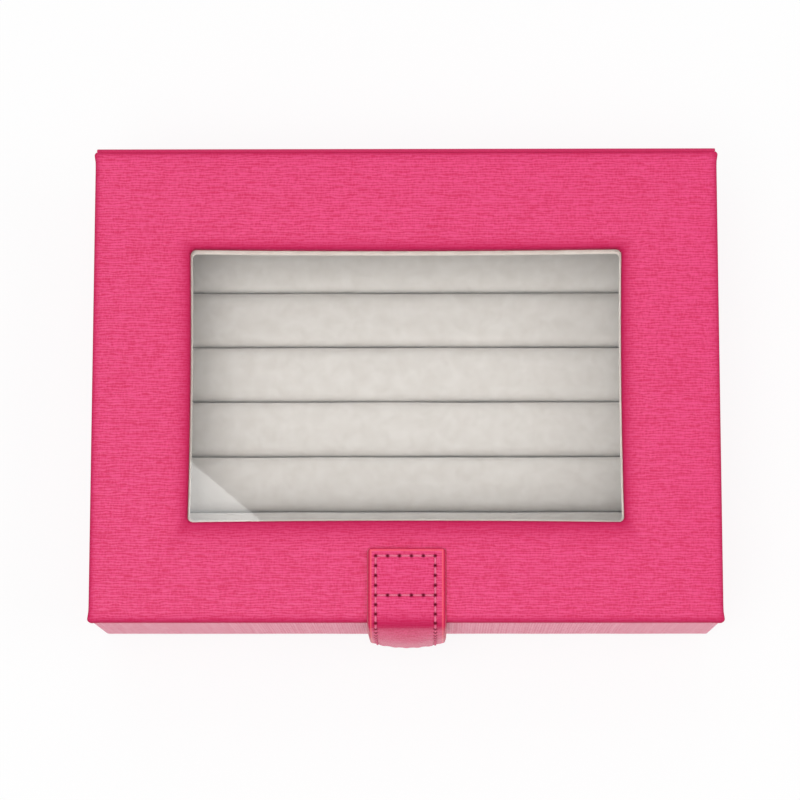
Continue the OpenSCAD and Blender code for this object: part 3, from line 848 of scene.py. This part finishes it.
def hinge_cloth_path():
    """Seen face of the cloth that bridges the joint: up the wall's inside and on under the lid."""
    ceiling = lid_under - CLOTH_T
    fall, rise = quarter_round(CLOTH_BEND_R, 12)
    up = np.stack([np.full(14, bend_y), np.linspace(rim - 2.2, ceiling - CLOTH_BEND_R, 14)], 1)
    bend = np.stack([bend_y - rise, ceiling - fall], 1)[1:]
    under = np.stack([np.linspace(bend_y - 0.5, reach_low[1], 16), np.full(16, ceiling)], 1)
    return np.concatenate([up, bend, under])


rim_cloth = strip_object("rim_cloth", *strip_surface(rim_cloth_path(), cloth_high[0], RIM_CLOTH_T, 0.1, 60))
finish_piece(rim_cloth, cloth_finish, "base")
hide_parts("hinge_cloth_base")

bridge = strip_surface(hinge_cloth_path(), reach_high[0], CLOTH_T, 0.05, 60, start_r=1.5, stop_r=1.5)
hinge_cloth = strip_object("hinge_cloth", *bridge)
finish_piece(hinge_cloth, cloth_finish)
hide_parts("hinge_cloth_lid")
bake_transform(hinge_cloth)

# %% [markdown]
# ## Frame under the pane
# A thin board frame, covered in the same suede as the rolls, holds the pane from below. A narrow
# lip of it shows inside the window. Its suede is coloured paler and pinker than the rolls': painted
# light, and a painted pink reflection of the leather above. It is a closed section that travels
# from the frame's outer outline to the window's, with soft edges where the cover is drawn over the board.

# %% Cover the frame under the pane
FRAME_EDGE_R = 0.45
FRAME_CORNER_R, LIP_CORNER_R = 0.9, 1.6
FRAME_SWELL, FRAME_SWELL_LENGTH = 0.03, 17.0
FRAME_COVER = 0.12  # the suede's own thickness round the frame's outer edge
frame_half = (frame_high[:2] - frame_low[:2]) / 2
frame_centre = (frame_high[:2] + frame_low[:2]) / 2
LIP = np.array([0.5, 0.95])  # how far the frame shows inside the window
PANE_GAP = 0.08  # the suede lies just clear of the pane above it


def frame_section(columns=12, steps=5):
    """Shares from outer edge to window, 0 to 1, with insets from them and heights, once round."""
    low, high = frame_low[2], frame_high[2] - PANE_GAP
    fall, rise = quarter_round(FRAME_EDGE_R, steps)
    across = np.linspace(0, 1, columns)
    share = np.concatenate([np.zeros(steps), across, np.ones(2 * steps), across[::-1], np.zeros(steps)])
    inset = np.concatenate([rise, np.full(columns, FRAME_EDGE_R), fall] * 2)
    top = np.concatenate([high - fall, np.full(columns, high), high - rise])
    bottom = np.concatenate([low + fall, np.full(columns, low), low + rise])
    return without_doubles(share, inset, np.concatenate([top, bottom]))


def frame_surface():
    """The section carried round the window: each loop lies between the outer and the inner outline."""
    share, inset, z = frame_section()
    outer, inner = frame_half + FRAME_COVER, window_half - LIP
    half = outer[:, None] + (inner - outer)[:, None] * share + np.where(share < 0.5, -inset, inset)
    radius = FRAME_CORNER_R + (LIP_CORNER_R - FRAME_CORNER_R) * share
    flat = rounded_loops(loop_template(70, 6), *half, radius)
    flat[..., 1] += (frame_centre[1] * (1 - share))[:, None]
    flat += edge_bow(flat) * (share**3)[:, None, None]
    z = np.repeat(z[:, None], flat.shape[1], 1)
    z = z - FRAME_SWELL * (1 + ripple(flat[..., 0], flat[..., 1], 11, FRAME_SWELL_LENGTH))
    return np.concatenate([flat, z[..., None]], -1)


surface = frame_surface()
inner_frame_suede = make_object("inner_frame_suede", surface, closed_ring_faces(surface))
finish_piece(inner_frame_suede, lip_suede_with_painted_light, "lid")
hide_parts("inner_frame")

# %% [markdown]
# ## Ring rolls
# Eight bars of foam lie side by side, each in a sleeve of suede. Pressed against each other, they
# are no longer quite round: tops and flanks flatten, and the furrows between them grow narrow and
# deep. That is what grips a ring. The sleeve's ends are gathered and tucked in. Packed this tight
# they hardly give, so a formula shapes them rather than a cloth simulation. One function makes both
# a sleeve and its foam core, and each roll gets its own slow swell, so that no two are alike.

# %% Make the eight rolls
ROLL_SQUARE = 4.2  # exponent of the section: 2 is round, more is squarer
GATHERS = 13  # folds round the tucked end
GATHER_DEPTH, GATHER_REACH = 0.05, 9.0  # as a share of the radius, and from the end in
END_R, END_SQUARE = 3.4, 2.4  # length of the domed end, and how square it is
ROLL_SWELL = 46.0  # length of the slow swell


def roll_surface(low, high, seed, along_steps, end_steps=10, around_steps=72):
    """A bar with a squared round section. Its ends are domes with gathers that run to the middle.

    The section is |y|^n + |z|^n = r^n. Along the bar, the radius follows a quarter of the same
    curve at each end, and a slow ripple swells the whole sleeve by a tenth of a millimetre.
    """
    middle, half = (low + high) / 2, (high - low) / 2
    straight = np.linspace(-1, 1, along_steps) * (half[0] - END_R)
    turn = np.radians(np.linspace(90, 0, end_steps, endpoint=False))
    dome = half[0] - END_R + END_R * np.cos(turn[1:]) ** (2 / END_SQUARE)
    shrink = np.sin(turn[1:]) ** (2 / END_SQUARE)
    tuck_r = np.array([0.13, 0.04])
    tuck_x = half[0] - np.array([0.5, 1.6])
    x = np.concatenate([straight, dome, tuck_x])
    r = np.concatenate([np.ones(along_steps), shrink, tuck_r])
    x = np.concatenate([-x[:along_steps - 1:-1], x])
    r = np.concatenate([r[:along_steps - 1:-1], r])[:, None]
    angle = np.linspace(0, 2 * np.pi, around_steps, endpoint=False)[None]
    power = 2 / ROLL_SQUARE
    unit_y = np.sign(np.cos(angle)) * np.abs(np.cos(angle)) ** power
    unit_z = np.sign(np.sin(angle)) * np.abs(np.sin(angle)) ** power
    swell = 1 - 0.012 + 0.010 * ripple(x[:, None] + 40 * seed, 9 * angle, seed, ROLL_SWELL)
    near_end = np.clip((np.abs(x) - half[0] + GATHER_REACH) / GATHER_REACH, 0, 1)[:, None]
    gather = 1 - GATHER_DEPTH * near_end**2 * (0.5 - 0.5 * np.cos(GATHERS * angle + seed))
    y = middle[1] + unit_y * r * half[1] * swell * gather
    z = middle[2] + unit_z * r * half[2] * swell * gather
    return np.stack([x[:, None] + 0 * y, y, z], -1)


def roll_object(name, node, seed, along_steps):
    """A sleeve or a foam core, made to the measure of its CAD node."""
    surface = roll_surface(*corners(node), seed, along_steps)
    return make_object(name, surface, tube_faces(surface))


for number in range(1, 9):
    roll = roll_object(f"roll_{number}", f"ring_roll_{number}", number, 110)
    finish_piece(roll, suede_finish, "base")
    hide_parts(f"ring_roll_{number}")
    roll_foam = roll_object(f"roll_foam_{number}", f"roll_core_{number}", number, 30)
    finish_piece(roll_foam, foam_finish, "base")
    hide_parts(f"roll_core_{number}")

# %% [markdown]
# ## Strap
# A doubled strap of the same leather is sewn on near the lid's front edge, bends over it and bows
# out over the hidden snap. Its cut edges are painted. Needle and thread pull the leather down
# along the seam, so the mesh is fine enough to hold the dents round each needle hole. The strap
# is one piece that crosses the fold.

# %% Path of the strap
sewn_end = corners("strap_backing")[1][1]
face_low, face_high = corners("strap_face")
flap_low, flap_high = corners("flap_backing")
STRAP_GAP = 0.05  # the strap lies just clear of the lid's leather
STRAP_T = face_high[2] - lid_top - STRAP_GAP
STRAP_X = (face_low[0] + face_high[0]) / 2
STRAP_HALF = (face_high[0] - face_low[0]) / 2
BACKING_T = 0.8
BEND_R = 1.5
FOLD_ANGLE = 70.0  # how far the tight bend over the lid's edge turns, in degrees
TAIL, TAIL_IN = 6.0, 1.1  # length of the hanging end that is drawn in, and how far
EDGE_LEDGE = 0.35  # how far the painted backing stands out under the face
bend_z = lid_top + STRAP_GAP - BEND_R
bend_y = flap_high[1] + BEND_R
bow = flap_high[1] - flap_low[1] - BACKING_T
tip_z = flap_low[2]


def strap_path():
    """The strap's outer face: from back to front over the lid, round the fold, down over the snap.

    It follows the crowned lid. Then come two arcs: a tight one that turns by FOLD_ANGLE, and one of
    a radius that brings the leather out over the snap by the time it hangs straight.
    """
    y = spaced((sewn_end, sewn_end - 1.2, 8), (sewn_end - 1.2, bend_y + 4, 84), (bend_y + 4, bend_y, 10))
    sink = CROWN_DROP * np.exp(-(y - lid_low[1]) / CROWN_REACH)
    over = np.stack([y, lid_top + STRAP_GAP + STRAP_T - sink], 1)
    fold = np.radians(FOLD_ANGLE)
    r = BEND_R + STRAP_T
    wide_r = r + bow / (1 - np.sin(fold))
    tight = np.linspace(0, fold, 18)[1:]
    wide = np.linspace(fold, np.pi / 2, 52)[1:]
    y = np.concatenate([r * np.sin(tight), r * np.sin(fold) + wide_r * (np.sin(wide) - np.sin(fold))])
    z = np.concatenate([r * np.cos(tight), r * np.cos(fold) - wide_r * (np.cos(fold) - np.cos(wide))])
    drop = bend_z + z[-1] - tip_z
    fall = spaced((0, drop - 3.6, 26), (drop - 3.6, drop, 16))[1:]
    tail = TAIL_IN * np.clip((fall - drop + TAIL) / TAIL, 0, 1) ** 2
    y = np.concatenate([y, y[-1] - tail])
    z = np.concatenate([z, z[-1] - fall])
    settle = sink[-1] * np.clip(1 + z / 16, 0, 1)
    return np.concatenate([over, np.stack([bend_y - y, bend_z + z - settle], 1)])


path = strap_path()
path_along = places_along(path)
strap_length = path_along[-1]
print("strap", round(strap_length, 1), "mm long and", round(STRAP_T, 2), "thick")

# %% [markdown]
# ### The strap's seam
# The seam is a rectangle of running stitches where the strap lies on the lid, and from there its
# two long rows go on down to the tip. Holes and stitches are counted out in millimetres along
# and across the strap, so that the dents in the leather and the thread itself share one table.

# %% Table of the strap's stitches
SEAM_LEFT, SEAM_RIGHT = -9.4 - STRAP_X, 9.36 - STRAP_X
SEAM_TOP, SEAM_SECOND = 2.55, 15.0  # rows that run across, from the sewn end
TIP_MARGIN = 2.5  # from the last row to the tip
STITCH = 3.05  # length of a stitch in the long rows


def run_of_stitches(start, stop, count):
    """Stitches of equal length between two (along, across) places, as rows of start and stop."""
    mark = np.linspace(start, stop, count + 1)
    return np.concatenate([mark[:-1], mark[1:]], 1)


seam_end = strap_length - TIP_MARGIN
long_count = int(round((seam_end - SEAM_SECOND) / STITCH))
rows = [run_of_stitches((at, SEAM_LEFT), (at, SEAM_RIGHT), 5) for at in (SEAM_TOP, SEAM_SECOND, seam_end)]
for start, stop, count in ((SEAM_TOP, SEAM_SECOND, 4), (SEAM_SECOND, seam_end, long_count)):
    rows += [run_of_stitches((start, side), (stop, side), count) for side in (SEAM_LEFT, SEAM_RIGHT)]
stitches = np.concatenate(rows)
print(len(stitches), "stitches")

# %% [markdown]
# ### The strap's leather
# Thread pulls the face down in a shallow valley, with a sharp pit at each needle hole. The strap's
# edge is painted: a coral line where the face rounds over, and a dark line on the outermost face
# and on the backing below, which stands out a little. The dark line is partly edge paint and partly
# painted shadow where the strap meets the lid. Each needle hole gets a dark dot of painted shade,
# and painted shade darkens the bend. Attributes carry these marks to the material.

# %% Strap mesh
def seam_distances(along, across):
    """Distance of each point to the nearest stitch, and to the nearest needle hole."""
    line = np.full(np.broadcast(along, across).shape, 99.0)
    pit = line.copy()
    for a, c, a2, c2 in stitches:
        run = np.array([a2 - a, c2 - c])
        t = np.clip(((along - a) * run[0] + (across - c) * run[1]) / (run @ run), 0, 1)
        line = np.minimum(line, np.hypot(along - a - t * run[0], across - c - t * run[1]))
        ends = np.minimum(np.hypot(along - a, across - c), np.hypot(along - a2, across - c2))
        pit = np.minimum(pit, ends)
    return line, pit


def seam_relief(along, across):
    """Depth of the dents: a bell curve of each distance, wide for the valley and narrow for a pit."""
    line, pit = seam_distances(along, across)
    valley = 0.10 * np.exp(-(line**2)) + 0.12 * np.exp(-(line / 0.32) ** 2)
    return valley + 0.42 * np.exp(-(pit / 0.3) ** 2)


TIP_CROWN, CROWN_CURVE = 1.2, 1.4


def tip_crown(along, across):
    """How far the hanging part curves out in its middle, over the round snap: a parabola across it."""
    hanging = np.clip((along - SEAM_SECOND - 10) / 22, 0, 1)
    return TIP_CROWN * hanging**2 * (3 - 2 * hanging) * (1 - CROWN_CURVE * (across / STRAP_HALF) ** 2)


STRAP_COLUMNS, STRAP_EDGE_STEPS, STRAP_EDGE_R = 110, 5, 0.45
SEWN_CORNER_R, TIP_CORNER_R = 1.2, 3.4
# the bend's darker colour is painted shade where the strap turns away from the light, and partly stretched
# leather
BEND_MIDDLE, BEND_SPREAD = 2.4, 2.6  # where the bent leather is darkest, and how fast that fades
surface, along, across = strip_surface(
    path, STRAP_HALF, STRAP_T, STRAP_EDGE_R, STRAP_COLUMNS, STRAP_EDGE_STEPS, SEWN_CORNER_R, TIP_CORNER_R,
    middle=STRAP_X, side=-1, relief=seam_relief, lift=tip_crown)
section_share, _, section_deep = strip_section(STRAP_COLUMNS, STRAP_EDGE_STEPS, STRAP_EDGE_R, STRAP_T)
on_face, at_edge = section_deep < 0.6, np.abs(section_share) >= 1
surface[..., 0] += EDGE_LEDGE * np.sign(across) * np.clip((section_deep - 0.9) / 0.25, 0, 1) * at_edge
strap = strip_object("strap", surface, along, across, -1)
to_edge = np.minimum(STRAP_HALF - np.abs(across), np.minimum(along, strap_length - along))
bend_along = float(np.interp(-bend_y, -path[:, 0], path_along))
# painted shade over the bend, partly stretched leather
add_attribute(strap, "stretch_and_shade", 0.95 * np.exp(-((along - bend_along - BEND_MIDDLE) / BEND_SPREAD) ** 2))
add_attribute(strap, "edge_paint", np.clip((1.15 - to_edge) / 0.3, 0, 1) * on_face)
# dark edge: edge paint, and painted shadow where the strap meets the lid
add_attribute(strap, "dark_edge_and_shadow", np.where(on_face, np.clip((0.65 - to_edge) / 0.2, 0, 1), at_edge))
pit = seam_distances(along, across)[1]
# painted shade in each needle pit
add_attribute(strap, "needle_hole_shade", np.exp(-(pit / 0.62) ** 4) * on_face)
finish_piece(strap, strap_leather_finish)
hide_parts("strap_face", "strap_backing", "flap_face", "flap_backing")
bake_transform(strap)

# %% [markdown]
# ### Thread
# Each stitch is a short length of twisted thread that dives into a hole at both ends. It is a tube
# whose middle line rises from below the face to a little above it. All stitches are one mesh.

# %% Sew the strap
THREAD_R = 0.36
HOLE_DEPTH, RISE = 0.45, 0.42  # how deep a stitch starts, and how far it rises from there
# the thread is painted darker near a hole, as shade
DIVE_SHADE_REACH = 0.6  # how far from a hole the thread is dark
THREAD_STEPS, THREAD_RING = 11, 8


def on_strap(along, across, above):
    """Places in the box's frame for lengths along and across the strap, at a height over its face."""
    y, z, ty, tz = (np.interp(along, path_along, v) for v in (*path.T, *directions(path).T))
    above = above + tip_crown(along, across)
    return np.stack([STRAP_X + across, y + tz * above, z - ty * above], -1)


def thread_surface():
    """Tubes round all stitches: (stitch, step, ring, 3).

    The middle line runs straight from hole to hole and rises by a flattened sine. The ring is a
    circle of the side direction and the face's normal, a little smaller at both ends.
    """
    t = np.linspace(0, 1, THREAD_STEPS)[None, :, None]
    ring = np.linspace(0, 2 * np.pi, THREAD_RING, endpoint=False)[None, None]
    a, c, a2, c2 = (stitches[:, k][:, None, None] for k in range(4))
    length = np.hypot(a2 - a, c2 - c)
    side_a, side_c = -(c2 - c) / length, (a2 - a) / length
    r = THREAD_R * (0.55 + 0.45 * np.sin(np.pi * t) ** 0.5)
    height = -HOLE_DEPTH + RISE * np.sin(np.pi * t) ** 0.5
    along = a + (a2 - a) * t + side_a * r * np.cos(ring)
    across = c + (c2 - c) * t + side_c * r * np.cos(ring)
    places = on_strap(*np.broadcast_arrays(along, across, height + r * np.sin(ring)))
    return places, *np.broadcast_arrays(length * t, ring / (2 * np.pi))


surface, run_along, run_round = thread_surface()
first_point = np.arange(len(stitches)) * THREAD_STEPS * THREAD_RING
all_tubes = (tube_faces(surface[0]) + first_point[:, None, None]).reshape(-1, 4)
strap_thread = make_object("strap_thread", surface, all_tubes)
add_surface_uv(strap_thread, run_along, run_round)
to_hole = np.minimum(run_along, run_along[:, -1:] - run_along)
# painted shade where the thread dives into a hole
add_attribute(strap_thread, "dive_shade", np.exp(-(to_hole / DIVE_SHADE_REACH) ** 4))
finish_piece(strap_thread, thread_finish)
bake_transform(strap_thread)

# %% [markdown]
# ## Light
# A product shot on white: the box stands on a pale floor between large soft lamps. The floor and
# the surroundings show as plain white to the camera and in reflections, and the lamps and a dimmer
# world light the box. From below, the floor is clear, so the box can be looked at from there too.

# %% Floor, world and lamps
def seen_directly(nodes, links):
    """1 for a camera, glossy or transmission ray and 0 for the others, which carry the light."""
    ray = nodes.new("ShaderNodeLightPath")
    seen = ray.outputs["Is Camera Ray"]
    for kind in ("Is Glossy Ray", "Is Transmission Ray"):
        either = nodes.new("ShaderNodeMath")
        either.operation = "MAXIMUM"
        links.new(ray.outputs[kind], either.inputs[0])
        links.new(seen, either.inputs[1])
        seen = either.outputs[0]
    return seen


FLOOR_HALF = 4.0
FLOOR_WHITE = 0.86  # how much of the floor's own shading is hidden under plain white
WORLD_LIGHT = 0.52  # what the world adds to the lamps
LAMP_AIM = (0, 0, 0.03)
FLOOR_Z = -0.00002  # just under the felt, so that the two faces never lie in one plane
floor_mesh = bpy.data.meshes.new("floor")
square = [(x * FLOOR_HALF, y * FLOOR_HALF, FLOOR_Z) for x, y in ((-1, -1), (1, -1), (1, 1), (-1, 1))]
floor_mesh.from_pydata(square, [], [(0, 1, 2, 3)])
floor = bpy.data.objects.new("floor", floor_mesh)
bpy.context.scene.collection.objects.link(floor)

floor_finish = Finish("pale floor")
floor_finish.set(Base_Color=(0.92, 0.92, 0.92, 1.0), Roughness=0.9)
white = floor_finish.add("ShaderNodeEmission", Color=(1, 1, 1, 1), Strength=1.0)
share = floor_finish.math("MULTIPLY", seen_directly(floor_finish.nodes, floor_finish.links), FLOOR_WHITE)
mixed = floor_finish.add("ShaderNodeMixShader", i0=share, i1=floor_finish.shader.outputs[0],
                         i2=white.outputs[0])
from_below = floor_finish.add("ShaderNodeNewGeometry").outputs["Backfacing"]
nothing = floor_finish.add("ShaderNodeBsdfTransparent", Color=(1, 1, 1, 1))
one_sided = floor_finish.add("ShaderNodeMixShader", i0=from_below, i1=mixed.outputs[0],
                             i2=nothing.outputs[0])
floor_finish.links.new(one_sided.outputs[0], floor_finish.output.inputs["Surface"])
floor_mesh.materials.append(floor_finish.material)

world = bpy.data.worlds.new("studio")
bpy.context.scene.world = world
world.use_nodes = True
sky = world.node_tree.nodes["Background"]
seen = seen_directly(world.node_tree.nodes, world.node_tree.links)
strength = world.node_tree.nodes.new("ShaderNodeMapRange")
world.node_tree.links.new(seen, strength.inputs["Value"])
strength.inputs["To Min"].default_value = WORLD_LIGHT
strength.inputs["To Max"].default_value = 1.0
world.node_tree.links.new(strength.outputs[0], sky.inputs["Strength"])
sky.inputs["Color"].default_value = (1, 1, 1, 1)


def soft_lamp(name, place, size, watts):
    """A square area lamp of that size in metres, turned towards the middle of the box."""
    lamp = bpy.data.objects.new(name, bpy.data.lights.new(name, "AREA"))
    lamp.data.shape, lamp.data.size, lamp.data.energy = "SQUARE", size, watts
    bpy.context.scene.collection.objects.link(lamp)
    lamp.location = place
    direction = np.subtract(place, LAMP_AIM)
    yaw = np.arctan2(direction[0], -direction[1])
    tilt = np.arctan2(np.hypot(direction[0], direction[1]), direction[2])
    lamp.rotation_euler = (tilt, 0, yaw)


soft_lamp("lamp over the front left", (-0.32, -0.38, 1.6), 1.1, 11.6)
soft_lamp("lamp over the right", (1.1, -0.1, 1.3), 0.8, 4.3)
soft_lamp("lamp over the back", (-0.1, 1.0, 1.3), 0.8, 2.4)
bpy.context.scene.view_settings.view_transform = "Standard"
print("lamps and floor ready")
